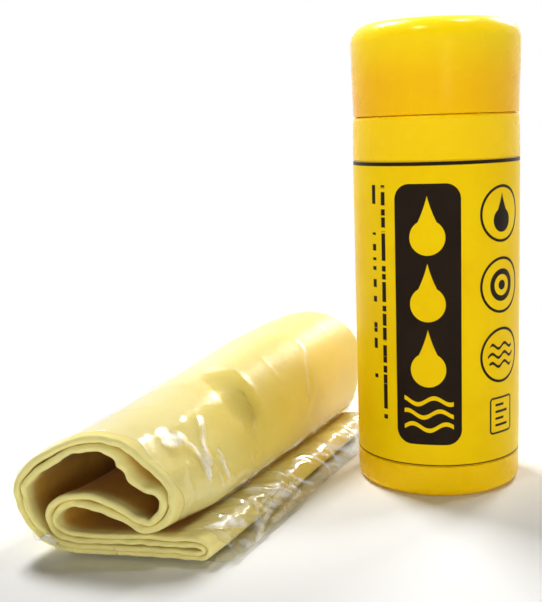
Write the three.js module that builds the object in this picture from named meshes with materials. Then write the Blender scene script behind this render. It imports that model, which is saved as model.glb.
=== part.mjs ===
import * as THREE from 'three';

// Chamois set: a storage canister with its screw cap, and the rolled cloth in its film bag beside it.
// Sizes in millimetres, +Z up, everything stands on z = 0.

// Canister body
const CANISTER_DIAMETER = 66;
const SHOULDER_HEIGHT = 147.6;
const BODY_WALL = 1.6;
const BASE_EDGE_RADIUS = 3.5;
const BASE_RECESS_DEPTH = 1.6;
const STANDING_RING_WIDTH = 4;
const RECESS_SLOPE_WIDTH = 2;
const SHOULDER_TAPER = 0.35;
const SHOULDER_EDGE_RADIUS = 1.6;
const NECK_WALL = 2;
const NECK_LIP_RADIUS = 0.6;
const INNER_SHOULDER_DROP = 7;
const INNER_CORNER_RADIUS = 3;

// Wrap label, in a shallow recess of the body below a plain band under the shoulder
const LABEL_BOTTOM = 12.8;
const SHOULDER_BAND = 17;
const LABEL_THICKNESS = 0.4;
const LABEL_BACK_GAP = 3;

// Screw cap and its liner
const CAP_HEIGHT = 36;
const CAP_TOP_SWELL = 0.2;
const CAP_RIM_INSET = 0.4;
const CAP_WALL = 1.7;
const CAP_TOP_EDGE_RADIUS = 8;
const CAP_CROWN = 0.4;
const CAP_TOP_WALL = 2.2;
const CAP_RIM_EDGE_RADIUS = 0.5;
const CAP_INNER_CORNER_RADIUS = 6;
const CAP_HEADROOM = 12;
const THREAD_ROOM = 1.5;
const SEAL_RIB_WIDTH = 1.4;
const LINER_THICKNESS = 1.5;
const LINER_ROOM = 1;

// Chamois cloth: one sheet folded once, so the rolled strip is two plies thick
const CLOTH_PLY = 1.9;
const LAYER_GAP = 0.5;
const FOLD_GAP = 1.3;
const NEAR_FLAP = 41;
const FAR_FLAP = 38.5;
const ROLL_LENGTH = 165;
const ROLL_TURN = 25.5;
const ROLL_SKEW = 0.25;

// Film bag round the roll
const FILM_THICKNESS = 0.45;
const FILM_ROOM = 0.6;
const BAG_MOUTH_SETBACK = 3.5;
const BAG_SLACK = 5;

// How the pieces stand to each other
const CLEARANCE = 0.3;
const CAP_SEAT_GAP = 0.4;
const ROLL_TO_CANISTER = 5.9;
const ROLL_AHEAD = 129.7;
const FLOOR_SAG = 0.18;

// Facets
const ROUND_SEGMENTS = 64;
const EDGE_STEPS = 4;
const SCROLL_STEPS = 2;
const ROLL_STATIONS = 9;
const BAG_SIDES = 84;
const FILM_DIRECTIONS = 360;

// Heights above the floor run: the second layer, that layer at the flap's fold, and the curl resting on it
const LAYER = 2 * CLOTH_PLY + LAYER_GAP;
const FOLD = 2 * CLOTH_PLY + FOLD_GAP;
const CURL = LAYER + 2 * CLOTH_PLY + LAYER_GAP;

// The half-round fold at the flap's edge, from the second layer down to the floor run
function flapFold(reach) {
  const radius = FOLD / 2;
  const centre = reach - CLOTH_PLY - radius;
  return [0, 45, 90, 135, 180].map((turned) => {
    const angle = THREE.MathUtils.degToRad(90 - turned);
    return [centre + radius * Math.cos(angle), radius + radius * Math.sin(angle)];
  });
}

// The scroll in the end view: the middle of the double ply, sideways and up from the roll's centre line on
// the floor film. It starts under the roll, runs left on the floor, over the top, curls in on the right,
// goes back left as a tongue, turns down and returns to the flap's edge, where it is folded under.
const NEAR_SCROLL = [
  [4, 0], [-4, 0], [-13, 1.2], [-21.5, 6], [-26.2, 15.5], [-25.2, 25.2], [-17.5, 32.2], [-8, 37.4],
  [3, 39.5], [12, 36.4], [18.6, 29.6], [24.2, 24.6], [26.2, 18.4], [24.6, 12.4], [21.6, 9.7], [17, CURL],
  [9.5, 12.2], [0, 16.4], [-9, 16.8], [-15.2, 12.6], [-15, 7.2], [-9.5, LAYER + 0.2], [5, LAYER],
  [20, LAYER], [29, LAYER + 0.4], ...flapFold(NEAR_FLAP), [24, 0], [8, 0],
];
const FAR_SCROLL = [
  [5, 0], [-3, 0], [-12, 1.2], [-21, 7.5], [-25.5, 18.5], [-23.5, 31], [-15.5, 42], [-4, 50],
  [9, 53.5], [22, 51], [30, 43], [32.8, 32], [31.2, 22], [29.2, 14], [26.8, 9.7], [19.6, CURL],
  [9.5, 12.6], [0, 20], [-8, 22], [-13.5, 16], [-12.5, 8], [-7, LAYER + 0.4], [5, LAYER],
  [18, LAYER], [27, LAYER + 0.4], ...flapFold(FAR_FLAP), [22, 0], [9, 0],
];

// Behind the near end the curl settles down on the flap: the moves of its points, by place in the lists,
// and the share of the length that this takes
const CURL_SETTLE = { 12: [2.4, -2.4], 13: [3.6, -1.6], 14: [4.3, -0.4], 15: [3, 0] };
const SETTLE_SHARE = 0.2;

// Places in those lists: the floor run's start, the curl's end and the start of the return
const FLOOR_POINT = 2;
const CURL_POINT = 16;
const RETURN_POINT = 21;
// A place inside both the roll and the flap
const FILM_CENTRE = [8, 3];

// Levels and radii that follow from the sizes above
const bodyRadius = CANISTER_DIAMETER / 2;
const recessRadius = bodyRadius - LABEL_THICKNESS - CLEARANCE;
const innerRadius = recessRadius - BODY_WALL;
const labelTop = SHOULDER_HEIGHT - SHOULDER_BAND;
const capRimRadius = bodyRadius - CAP_RIM_INSET;
const capBoreRadius = capRimRadius - CAP_WALL;
const neckRadius = capBoreRadius - THREAD_ROOM;
const boreRadius = neckRadius - NECK_WALL;
const capRim = SHOULDER_HEIGHT + CAP_SEAT_GAP;
const capTop = capRim + CAP_HEIGHT;
const neckTop = capTop - CAP_HEADROOM;
const linerBottom = neckTop + CLEARANCE;
const ribBottom = linerBottom + LINER_THICKNESS + CLEARANCE;

const point = (r, z) => new THREE.Vector2(r, z);

// Points of a round edge about (r, z), from one angle to another in degrees
function roundEdge(r, z, radius, from, to) {
  const points = [];
  for (let i = 0; i <= EDGE_STEPS; i++) {
    const angle = THREE.MathUtils.degToRad(from + (to - from) * i / EDGE_STEPS);
    points.push(point(r + radius * Math.cos(angle), z + radius * Math.sin(angle)));
  }
  return points;
}

// A solid of revolution about +Z
function revolve(profile) {
  const geometry = new THREE.LatheGeometry(profile, ROUND_SEGMENTS);
  geometry.rotateX(Math.PI / 2);
  return geometry;
}

function canisterBody() {
  const edge = BASE_EDGE_RADIUS;
  const ringInner = bodyRadius - edge - STANDING_RING_WIDTH;
  const shoulderRadius = bodyRadius - SHOULDER_TAPER;
  const shoulderEdge = SHOULDER_EDGE_RADIUS;
  const floorTop = BASE_RECESS_DEPTH + BODY_WALL;
  const corner = INNER_CORNER_RADIUS;
  const lip = NECK_LIP_RADIUS;
  return revolve([
    point(0, BASE_RECESS_DEPTH),
    point(ringInner - RECESS_SLOPE_WIDTH, BASE_RECESS_DEPTH),
    point(ringInner, 0),
    ...roundEdge(bodyRadius - edge, edge, edge, -90, 0),
    point(bodyRadius, LABEL_BOTTOM - 2 * CLEARANCE),
    point(recessRadius, LABEL_BOTTOM - CLEARANCE),
    point(recessRadius, labelTop + CLEARANCE),
    point(bodyRadius, labelTop + 2 * CLEARANCE),
    ...roundEdge(shoulderRadius - shoulderEdge, SHOULDER_HEIGHT - shoulderEdge, shoulderEdge, 0, 90),
    point(neckRadius, SHOULDER_HEIGHT),
    ...roundEdge(neckRadius - lip, neckTop - lip, lip, 0, 90),
    ...roundEdge(boreRadius + lip, neckTop - lip, lip, 90, 180),
    point(boreRadius, SHOULDER_HEIGHT - BODY_WALL),
    point(innerRadius, SHOULDER_HEIGHT - BODY_WALL - INNER_SHOULDER_DROP),
    ...roundEdge(innerRadius - corner, floorTop + corner, corner, 0, -90),
    point(0, floorTop),
  ]);
}

function screwCap() {
  const topRadius = bodyRadius + CAP_TOP_SWELL;
  const edge = CAP_TOP_EDGE_RADIUS;
  const rim = CAP_RIM_EDGE_RADIUS;
  const corner = CAP_INNER_CORNER_RADIUS;
  const ceiling = capTop - CAP_CROWN - CAP_TOP_WALL;
  const ribInner = boreRadius + (NECK_WALL - SEAL_RIB_WIDTH) / 2;
  const ribOuter = ribInner + SEAL_RIB_WIDTH;
  const cornerStart = THREE.MathUtils.radToDeg(Math.acos((ribOuter - capBoreRadius + corner) / corner));
  return revolve([
    point(0, ceiling),
    point(ribInner, ceiling),
    point(ribInner, ribBottom),
    point(ribOuter, ribBottom),
    ...roundEdge(capBoreRadius - corner, ceiling - corner, corner, cornerStart, 0),
    point(capBoreRadius, capRim + rim),
    point(capBoreRadius + rim, capRim),
    ...roundEdge(capRimRadius - rim, capRim + rim, rim, -90, 0),
    ...roundEdge(topRadius - edge, capTop - CAP_CROWN - edge, edge, 0, 85),
    point(0, capTop),
  ]);
}

function capLiner() {
  const radius = capBoreRadius - LINER_ROOM;
  return revolve([
    point(0, linerBottom),
    point(radius, linerBottom),
    point(radius, linerBottom + LINER_THICKNESS),
    point(0, linerBottom + LINER_THICKNESS),
  ]);
}

// A band wrapped round the body, its two ends close together on the far side
function wrapLabel() {
  const inner = recessRadius + CLEARANCE;
  const outer = inner + LABEL_THICKNESS;
  const halfGap = LABEL_BACK_GAP / 2 / outer;
  const start = Math.PI / 2 + halfGap;
  const end = Math.PI / 2 + 2 * Math.PI - halfGap;
  const band = new THREE.Shape();
  band.absarc(0, 0, outer, start, end, false);
  band.absarc(0, 0, inner, end, start, true);
  const geometry = new THREE.ExtrudeGeometry(band, {
    depth: labelTop - LABEL_BOTTOM,
    bevelEnabled: false,
    curveSegments: ROUND_SEGMENTS,
  });
  geometry.translate(0, 0, LABEL_BOTTOM);
  return geometry;
}

// The roll's own directions: along it, away from the near end, and across it, towards the canister
const turn = THREE.MathUtils.degToRad(ROLL_TURN);
const along = new THREE.Vector3(Math.sin(turn), Math.cos(turn), 0);
const across = new THREE.Vector3(Math.cos(turn), -Math.sin(turn), 0);
const clothFloor = FILM_THICKNESS + FILM_ROOM + FLOOR_SAG + CLOTH_PLY;
const slackReach = (share) => THREE.MathUtils.lerp(NEAR_FLAP, FAR_FLAP, share) + BAG_SLACK;
const slackBeside = slackReach(ROLL_AHEAD / ROLL_LENGTH);
const rollAside = slackBeside + FILM_ROOM + FILM_THICKNESS + ROLL_TO_CANISTER + bodyRadius;

// Where sections are taken along the roll: its near end, the bag's mouth and even steps to its far end
const rollDistances = [0, BAG_MOUTH_SETBACK];
for (let k = 1; k <= ROLL_STATIONS; k++) {
  rollDistances.push(ROLL_LENGTH * k / ROLL_STATIONS);
}

// A place on the roll: distance along it, sideways and up. The ends are skewed, as a loose roll's are.
function rollPoint(distance, side, height) {
  const place = new THREE.Vector3(0, 0, height);
  place.addScaledVector(along, distance + ROLL_SKEW * side - ROLL_AHEAD);
  place.addScaledVector(across, side - rollAside);
  return place;
}

// The middle line of the double ply at a share of the roll's length, 0 near and 1 far
function scrollCurve(share) {
  const far = THREE.MathUtils.smoothstep(share, 0, 1);
  const settled = THREE.MathUtils.smoothstep(share, 0, SETTLE_SHARE);
  const points = NEAR_SCROLL.map(([side, up], i) => {
    const [farSide, farUp] = FAR_SCROLL[i];
    const [moveSide, moveUp] = CURL_SETTLE[i] ?? [0, 0];
    const s = THREE.MathUtils.lerp(side + moveSide * settled, farSide, far);
    const z = THREE.MathUtils.lerp(up + moveUp * settled, farUp, far);
    return new THREE.Vector3(s, z + clothFloor, 0);
  });
  return new THREE.CatmullRomCurve3(points, false, 'centripetal');
}

// The two faces of the double ply at a share of the length, as [side, up] pairs from end to end
function scrollFaces(share) {
  const curve = scrollCurve(share);
  const count = (NEAR_SCROLL.length - 1) * SCROLL_STEPS;
  const outerFace = [];
  const innerFace = [];
  for (let i = 0; i <= count; i++) {
    const middle = curve.getPoint(i / count);
    const heading = curve.getTangent(i / count);
    outerFace.push([middle.x - heading.y * CLOTH_PLY, middle.y + heading.x * CLOTH_PLY]);
    innerFace.push([middle.x + heading.y * CLOTH_PLY, middle.y - heading.x * CLOTH_PLY]);
  }
  return { outerFace, innerFace };
}

// A closed solid from rings of equal count. Each cap is a list of triangles within its ring.
function loft(rings, startCap, endCap) {
  const count = rings[0].length;
  const positions = rings.flat().flatMap((p) => [p.x, p.y, p.z]);
  const index = [];
  for (let k = 0; k + 1 < rings.length; k++) {
    for (let i = 0; i < count; i++) {
      const a = k * count + i;
      const b = k * count + (i + 1) % count;
      index.push(a, b, b + count, a, b + count, a + count);
    }
  }
  const last = (rings.length - 1) * count;
  startCap.forEach(([a, b, c]) => index.push(a, c, b));
  endCap.forEach(([a, b, c]) => index.push(last + a, last + b, last + c));
  const geometry = new THREE.BufferGeometry();
  geometry.setAttribute('position', new THREE.Float32BufferAttribute(positions, 3));
  geometry.setIndex(index);
  geometry.computeVertexNormals();
  return geometry;
}

function chamoisCloth() {
  const rings = rollDistances.map((distance) => {
    const { outerFace, innerFace } = scrollFaces(distance / ROLL_LENGTH);
    const outline = [...outerFace, ...innerFace.reverse()];
    return outline.map(([side, up]) => rollPoint(distance, side, up));
  });
  const count = rings[0].length;
  const cap = [];
  for (let i = 0; i + 1 < count / 2; i++) {
    cap.push([i, i + 1, count - 2 - i], [i, count - 2 - i, count - 1 - i]);
  }
  return loft(rings, cap, cap);
}

// How far a taut film round some points reaches from a place within it, as a function of the direction
function tautReach(points, room, from) {
  const planes = [];
  for (let k = 0; k < FILM_DIRECTIONS; k++) {
    const angle = 2 * Math.PI * k / FILM_DIRECTIONS;
    const [c, s] = [Math.cos(angle), Math.sin(angle)];
    const reach = Math.max(...points.map(([side, up]) => (side - from.x) * c + (up - from.y) * s));
    planes.push({ c, s, reach: reach + room });
  }
  return (angle) => {
    const [c, s] = [Math.cos(angle), Math.sin(angle)];
    const facing = planes.filter((plane) => plane.c * c + plane.s * s > 0.01);
    return Math.min(...facing.map((plane) => plane.reach / (plane.c * c + plane.s * s)));
  };
}

// How far the film reaches at a share of the length, by direction from a place within it: taut round
// the roll and taut round the flap with the slack edge, with the crease between the two
function filmReach(share, room) {
  const { outerFace, innerFace } = scrollFaces(share);
  const part = (first, end) => [outerFace, innerFace].flatMap((face) => {
    return face.slice(first * SCROLL_STEPS, end * SCROLL_STEPS);
  });
  const slack = [slackReach(share), FILM_THICKNESS + FILM_ROOM + FLOOR_SAG];
  const flap = [...part(0, FLOOR_POINT), ...part(RETURN_POINT, NEAR_SCROLL.length), slack];
  const from = new THREE.Vector2(FILM_CENTRE[0], FILM_CENTRE[1] + clothFloor);
  const rollReach = tautReach(part(0, CURL_POINT), room, from);
  const flapReach = tautReach(flap, room, from);
  const start = Math.atan2(slack[1] - from.y, slack[0] - from.x);
  const place = (angle) => {
    const reach = Math.max(rollReach(angle), flapReach(angle));
    return new THREE.Vector2(reach * Math.cos(angle), reach * Math.sin(angle)).add(from);
  };
  return { start, place };
}

// Directions of the film's points at a share of the length, shared out by direction and by length
function filmAngles(share) {
  const { start, place } = filmReach(share, FILM_ROOM);
  const step = 2 * Math.PI / FILM_DIRECTIONS;
  const taut = [];
  for (let k = 0; k <= FILM_DIRECTIONS; k++) {
    taut.push(place(start + step * k));
  }
  const girth = taut.slice(1).reduce((sum, p, k) => sum + p.distanceTo(taut[k]), 0);
  const gone = [0];
  for (let k = 1; k <= FILM_DIRECTIONS; k++) {
    gone.push(gone[k - 1] + taut[k].distanceTo(taut[k - 1]) / girth + 1 / FILM_DIRECTIONS);
  }
  const angles = [];
  for (let i = 0, k = 1; i < BAG_SIDES; i++) {
    const want = gone[FILM_DIRECTIONS] * i / BAG_SIDES;
    while (gone[k] < want) k++;
    angles.push(start + step * (k - 1 + (want - gone[k - 1]) / (gone[k] - gone[k - 1])));
  }
  return angles;
}

// A bag with one open end: down the outside from the closed end to the mouth, and back up the inside
function filmBag() {
  const outline = (distance, room) => {
    const share = Math.min(distance / ROLL_LENGTH, 1);
    return filmAngles(share).map(filmReach(share, room).place);
  };
  const ring = (distance, room) => outline(distance, room).map((p) => rollPoint(distance, p.x, p.y));
  const endCap = (room) => THREE.ShapeUtils.triangulateShape(outline(ROLL_LENGTH, room), []);
  const closedEnd = ROLL_LENGTH + FILM_ROOM;
  const sleeve = rollDistances.slice(1);
  const outerRoom = FILM_ROOM + FILM_THICKNESS;
  const inside = [...sleeve, closedEnd].map((d) => ring(d, FILM_ROOM));
  const outside = [...sleeve, closedEnd + FILM_THICKNESS].map((d) => ring(d, outerRoom));
  return loft([...outside.reverse(), ...inside], endCap(outerRoom), endCap(FILM_ROOM));
}

function mesh(name, geometry, color, roughness, opacity = 1) {
  const material = new THREE.MeshStandardMaterial({ color, roughness, opacity, transparent: opacity < 1 });
  const piece = new THREE.Mesh(geometry, material);
  piece.name = name;
  return piece;
}

const chamoisSet = new THREE.Group();
chamoisSet.add(
  mesh('canister_body', canisterBody(), 0xf7c702, 0.4),
  mesh('screw_cap', screwCap(), 0xf3bd02, 0.35),
  mesh('cap_liner', capLiner(), 0xeeeeea, 0.7),
  mesh('wrap_label', wrapLabel(), 0xf7d102, 0.45),
  mesh('chamois_cloth', chamoisCloth(), 0xf0e080, 0.9),
  mesh('film_bag', filmBag(), 0xf4f6f6, 0.15, 0.3),
);

// The set stands centred on the origin
const middle = new THREE.Box3().setFromObject(chamoisSet).getCenter(new THREE.Vector3());
chamoisSet.children.forEach((piece) => piece.geometry.translate(-middle.x, -middle.y, 0));

export default chamoisSet;
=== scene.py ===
import math
from functools import partialmethod

import bpy
import bmesh
import numpy as np
from mathutils import Matrix, Vector, noise


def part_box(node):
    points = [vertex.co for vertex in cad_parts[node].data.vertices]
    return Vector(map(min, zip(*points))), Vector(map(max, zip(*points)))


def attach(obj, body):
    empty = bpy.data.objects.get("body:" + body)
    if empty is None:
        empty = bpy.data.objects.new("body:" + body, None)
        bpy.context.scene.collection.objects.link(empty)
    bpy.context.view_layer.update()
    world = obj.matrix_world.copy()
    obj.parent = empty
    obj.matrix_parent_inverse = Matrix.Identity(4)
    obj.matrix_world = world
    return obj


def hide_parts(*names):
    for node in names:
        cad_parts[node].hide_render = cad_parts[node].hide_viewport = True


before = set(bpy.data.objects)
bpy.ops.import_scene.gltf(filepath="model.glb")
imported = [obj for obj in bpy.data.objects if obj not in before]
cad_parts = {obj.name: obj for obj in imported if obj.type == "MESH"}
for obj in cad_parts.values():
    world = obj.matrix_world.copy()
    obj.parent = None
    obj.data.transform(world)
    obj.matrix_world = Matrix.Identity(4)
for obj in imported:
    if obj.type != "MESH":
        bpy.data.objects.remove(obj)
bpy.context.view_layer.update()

MM = 0.001
TURN = 2 * math.pi
WHITE = (1, 1, 1, 1)
scene = bpy.context.scene
scene.view_settings.view_transform = "Standard"

# The canister's axis, taken from the frame
body_low, body_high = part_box("canister_body")
AXIS_X = (body_low.x + body_high.x) / 2
AXIS_Y = (body_low.y + body_high.y) / 2


def add_object(name, data):
    made = bpy.data.objects.new(name, data)
    scene.collection.objects.link(made)
    return made


# Camera at the photograph's viewing angle
CAMERA_PLACE = (AXIS_X - 0.067984, AXIS_Y - 0.417251, 0.14567)
CAMERA_PITCH = 0.1679
CAMERA_ROLL = -0.0351

camera_data = bpy.data.cameras.new("camera")
camera_data.lens = 61.71
camera_data.sensor_width = 36
camera_data.clip_start = 0.01
camera = add_object("camera", camera_data)
tilt = Matrix.Rotation(math.pi / 2 - CAMERA_PITCH, 4, "X")
camera.matrix_world = Matrix.Translation(CAMERA_PLACE) @ tilt @ Matrix.Rotation(CAMERA_ROLL, 4, "Z")
scene.camera = camera


# Colours are written as they look, and turned to linear light
def linear(r, g, b):
    def one(c):
        c = c / 255
        return c / 12.92 if c <= 0.04045 else ((c + 0.055) / 1.055) ** 2.4
    return (one(r), one(g), one(b), 1)


# The colour sockets of a mix node
MIX_A = 6
MIX_B = 7
MIX_RESULT = 2


class Shader:
    """A material's or a world's node tree, with short calls for its nodes."""

    def __init__(self, owner, output):
        owner.use_nodes = True
        self.owner = owner
        self.tree = owner.node_tree
        self.tree.nodes.clear()
        self.out = self.tree.nodes.new(output)

    def node(self, kind, links=None, **settings):
        made = self.tree.nodes.new(kind)
        for key, value in settings.items():
            setattr(made, key, value)
        for key, value in (links or {}).items():
            self.put(made.inputs[key], value)
        return made

    def put(self, socket, value):
        if isinstance(value, Number):
            value = value.socket
        if isinstance(value, bpy.types.NodeSocket):
            self.tree.links.new(value, socket)
        else:
            socket.default_value = value

    def place(self):
        return self.node("ShaderNodeTexCoord").outputs["Object"]

    def split(self, vector):
        made = self.node("ShaderNodeSeparateXYZ", {"Vector": vector})
        return [Number(self, socket) for socket in made.outputs]

    def attribute(self, name):
        return Number(self, self.node("ShaderNodeAttribute", attribute_name=name).outputs["Fac"])

    def noise(self, where, scale, detail, roughness=0.5, distortion=0.0):
        made = self.node("ShaderNodeTexNoise", {"Vector": where, "Scale": scale, "Detail": detail,
                                                "Roughness": roughness, "Distortion": distortion})
        return Number(self, made.outputs["Fac"])

    def voronoi(self, where, scale):
        made = self.node("ShaderNodeTexVoronoi", {"Vector": where, "Scale": scale})
        return Number(self, made.outputs["Distance"])

    def mix(self, share, a, b):
        made = self.node("ShaderNodeMix", {"Factor": share, MIX_A: a, MIX_B: b}, data_type="RGBA")
        return made.outputs[MIX_RESULT]

    def bump(self, height, distance, strength):
        made = self.node("ShaderNodeBump", {"Height": height, "Distance": distance, "Strength": strength})
        return made.outputs["Normal"]

    def principled(self, **inputs):
        names = {key.replace("_", " "): value for key, value in inputs.items()}
        return self.node("ShaderNodeBsdfPrincipled", names)

    def blend(self, share, first, second):
        return self.node("ShaderNodeMixShader", {0: share, 1: first.outputs[0], 2: second.outputs[0]})

    def finish(self, surface):
        self.tree.links.new(surface.outputs[0], self.out.inputs["Surface"])
        return self.owner


def material_shader(name):
    return Shader(bpy.data.materials.new(name), "ShaderNodeOutputMaterial")


class Number:
    """A number in a node tree, with the usual arithmetic."""

    def __init__(self, shader, socket):
        self.shader = shader
        self.socket = socket

    def math(self, operation, *others):
        made = self.shader.node("ShaderNodeMath", operation=operation)
        for place, value in enumerate((self, *others)):
            self.shader.put(made.inputs[place], value)
        return Number(self.shader, made.outputs[0])

    __add__ = partialmethod(math, "ADD")
    __sub__ = partialmethod(math, "SUBTRACT")
    __mul__ = partialmethod(math, "MULTIPLY")
    __truediv__ = partialmethod(math, "DIVIDE")
    abs = partialmethod(math, "ABSOLUTE")
    min = partialmethod(math, "MINIMUM")
    max = partialmethod(math, "MAXIMUM")
    power = partialmethod(math, "POWER")
    root = partialmethod(math, "SQRT")
    sine = partialmethod(math, "SINE")

    def ramp(self, low, high, to_low=0.0, to_high=1.0):
        made = self.shader.node("ShaderNodeMapRange", {
            "Value": self, "From Min": low, "From Max": high, "To Min": to_low, "To Max": to_high,
        }, interpolation_type="SMOOTHSTEP")
        return Number(self.shader, made.outputs["Result"])


def highest(numbers):
    found, *others = numbers
    for other in others:
        found = found.max(other)
    return found


# Ranges of noise that are spread out to full contrast
CLOUDY = (0.3, 0.75)
SMEARED = (0.35, 0.75)
MOTTLED = (0.3, 0.72)
GRAINY = (0.3, 0.7)

# Plastic of the canister and the cap: plain, deep and upper colour, and the levels in mm over which the
# upper colour takes over, as painted light that makes the plastic brighter towards the top
CANISTER_YELLOWS = (linear(248, 204, 2), linear(245, 197, 1), linear(251, 208, 3))
CANISTER_PAINTED_LIGHT_LEVELS = (90 * MM, 150 * MM)
CAP_YELLOWS = (linear(249, 192, 1), linear(246, 184, 1), linear(251, 214, 5))
CAP_PAINTED_LIGHT_LEVELS = (158 * MM, 180 * MM)


def moulded_plastic(name, colours, levels, roughness):
    """Glossy moulded plastic: faint clouding, ripple and handling marks, with painted light that brightens
    it towards the top.
    """
    plain, deep, upper = colours
    s = material_shader(name)
    where = s.place()
    cloud = s.noise(where, scale=38, detail=3, roughness=0.55)
    colour = s.mix(cloud.ramp(*CLOUDY), plain, deep)
    height = s.split(where)[2]
    # painted light: the upper colour makes the plastic brighter towards the top, as if more light fell there
    colour = s.mix(height.ramp(*levels), colour, upper)
    smear = s.noise(where, scale=120, detail=4, roughness=0.6, distortion=0.4)
    rough = smear.ramp(*SMEARED, roughness - 0.05, roughness + 0.08)
    ripple = s.noise(where, scale=260, detail=2)
    grain = s.noise(where, scale=2600, detail=2, roughness=0.6)
    normal = s.bump(ripple * 0.8 + grain * 0.2, distance=0.00008, strength=0.5)
    return s.finish(s.principled(Base_Color=colour, Roughness=rough, Normal=normal,
                                 IOR=1.32, Specular_Tint=(1, 0.88, 0.4, 1)))


FOAM_PALE = linear(240, 239, 233)
FOAM_GREY = linear(226, 224, 216)


def foam_material():
    """Closed-cell foam: off-white, with small cells."""
    s = material_shader("foam")
    where = s.place()
    shade = s.noise(where, scale=90, detail=3)
    colour = s.mix(shade.ramp(*GRAINY), FOAM_PALE, FOAM_GREY)
    normal = s.bump(s.voronoi(where, scale=1500), distance=0.0002, strength=0.6)
    return s.finish(s.principled(Base_Color=colour, Roughness=0.75, Normal=normal))


# Label: places in mm along the wrap (0 faces the camera) and up
LABEL_LOW = 12.8
LABEL_HIGH = 130.6
INK_EDGE = 0.09
DROP_HEIGHT = 2.3
DROP_HOLLOW = 0.45
PANEL = (-16.2, 9.4, 21.5, 122.5)
PANEL_CORNER = 6.0
PANEL_DROPS = (102.3, 76.8, 51.3)
PANEL_DROP_RADIUS = 6.8
PANEL_WAVES = (28.5, 33.7, 38.9)
WAVE_SHIFT = 1.1
WAVE_FIELD = (PANEL[0] + 3.2, PANEL[1] - 3.2, 20, 124)
ROUNDELS = ((110.0, "drop"), (82.5, "ring"), (55.0, "waves"))
ROUNDEL_X = 28.0
ROUNDEL_RADIUS = 10.4
ROUNDEL_LINE = 0.55
STROKE_PITCH = 3.6
RULES = ((-21.6, 30, 122, 0.42), (-26.4, 46, 122, 0.52))
RULE_HALF = 0.95
DASH_SCALE = 0.32
DASH_SEED = 7.3
DASH_EDGE = 0.03
SHEET_SIGN = (22, 34, 24, 38)
SHEET_LINES = ((24.5, 31.5, 26.6, 27.6), (24.5, 29.3, 29.3, 30.3),
               (24.5, 31.5, 32.0, 33.0), (24.5, 29.3, 34.7, 35.7))
LABEL_YELLOWS = (linear(247, 208, 4), linear(243, 199, 2))
INK_BLACKS = (linear(28, 18, 16), linear(36, 24, 20))
INK_BROWN = linear(96, 62, 8)


class Print:
    """Flat shapes of the label's print, as distances in mm from their outlines."""

    def __init__(self, u, v):
        self.u = u
        self.v = v

    def ink(self, distance):
        return distance.ramp(-INK_EDGE, INK_EDGE, 1.0, 0.0)

    def box(self, x0, x1, y0, y1, corner):
        dx = ((self.u - (x0 + x1) / 2).abs() - ((x1 - x0) / 2 - corner)).max(0.0)
        dy = ((self.v - (y0 + y1) / 2).abs() - ((y1 - y0) / 2 - corner)).max(0.0)
        return (dx * dx + dy * dy).root() - corner

    def disc(self, x, y, radius):
        dx = self.u - x
        dy = self.v - y
        return (dx * dx + dy * dy).root() - radius

    def drop(self, x, y, radius):
        """A drop with its point up: a disc that narrows with height."""
        dx = (self.u - x).abs()
        dy = self.v - y
        lean = (dy / (radius * DROP_HEIGHT)).max(0.0).min(1.0)
        width = (lean * -1.0 + 1.0) * radius
        above = dx - width * (lean * -DROP_HOLLOW + 1.0)
        cone = above.max(dy - radius * DROP_HEIGHT).max(dy * -1.0)
        return self.disc(x, y, radius).min(cone)

    def wave(self, level, length, height, half, shift=0.0):
        """A wavy stroke along the wrap."""
        sway = (self.u * (TURN / length) + shift).sine() * height
        return (self.v - level - sway).abs() - half


def panel_ink(p):
    """The dark panel, with drops and waves left bright."""
    middle = (PANEL[0] + PANEL[1]) / 2
    drops = [p.ink(p.drop(middle, y, PANEL_DROP_RADIUS)) for y in PANEL_DROPS]
    field = p.ink(p.box(*WAVE_FIELD, corner=0.5))
    for k, level in enumerate(PANEL_WAVES):
        wave = p.wave(level, length=12.8, height=1.3, half=0.85, shift=WAVE_SHIFT * k)
        drops.append(p.ink(wave) * field)
    return p.ink(p.box(*PANEL, PANEL_CORNER)) * (highest(drops) * -1.0 + 1.0)


def roundel_ink(p, y, sign):
    """A round sign: a drop, a ring with a dot, or wave strokes."""
    x = ROUNDEL_X
    rim = p.ink(p.disc(x, y, ROUNDEL_RADIUS).abs() - ROUNDEL_LINE)
    if sign == "drop":
        mark = p.ink(p.drop(x, y - 2.5, radius=4.6))
    elif sign == "ring":
        dot = p.ink(p.disc(x, y, radius=1.9))
        mark = p.ink(p.disc(x, y, radius=5.2).abs() - 1.1).max(dot)
    else:
        levels = (y - STROKE_PITCH, y, y + STROKE_PITCH)
        strokes = highest(p.ink(p.wave(level, length=7.0, height=0.9, half=0.6)) for level in levels)
        mark = strokes * p.ink(p.disc(x, y, radius=7.4))
    return rim.max(mark)


def rule_ink(s, p, k, rule):
    """A plain rule beside the panel, broken into dashes of uneven length."""
    x, low, high, gap = rule
    along = s.node("ShaderNodeCombineXYZ", {"X": p.v * DASH_SCALE, "Y": DASH_SEED * k}).outputs[0]
    dash = s.noise(along, scale=1.0, detail=1.0)
    bar = p.ink(p.box(x - RULE_HALF, x + RULE_HALF, low, high, corner=0.3))
    return bar * dash.ramp(gap, gap + DASH_EDGE)


def sheet_ink(p):
    """A small sign: a sheet with four lines."""
    lines = [p.ink(p.box(*line, corner=0.2)) for line in SHEET_LINES]
    return highest([p.ink(p.box(*SHEET_SIGN, corner=1.2).abs() - 0.4), *lines])


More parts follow.
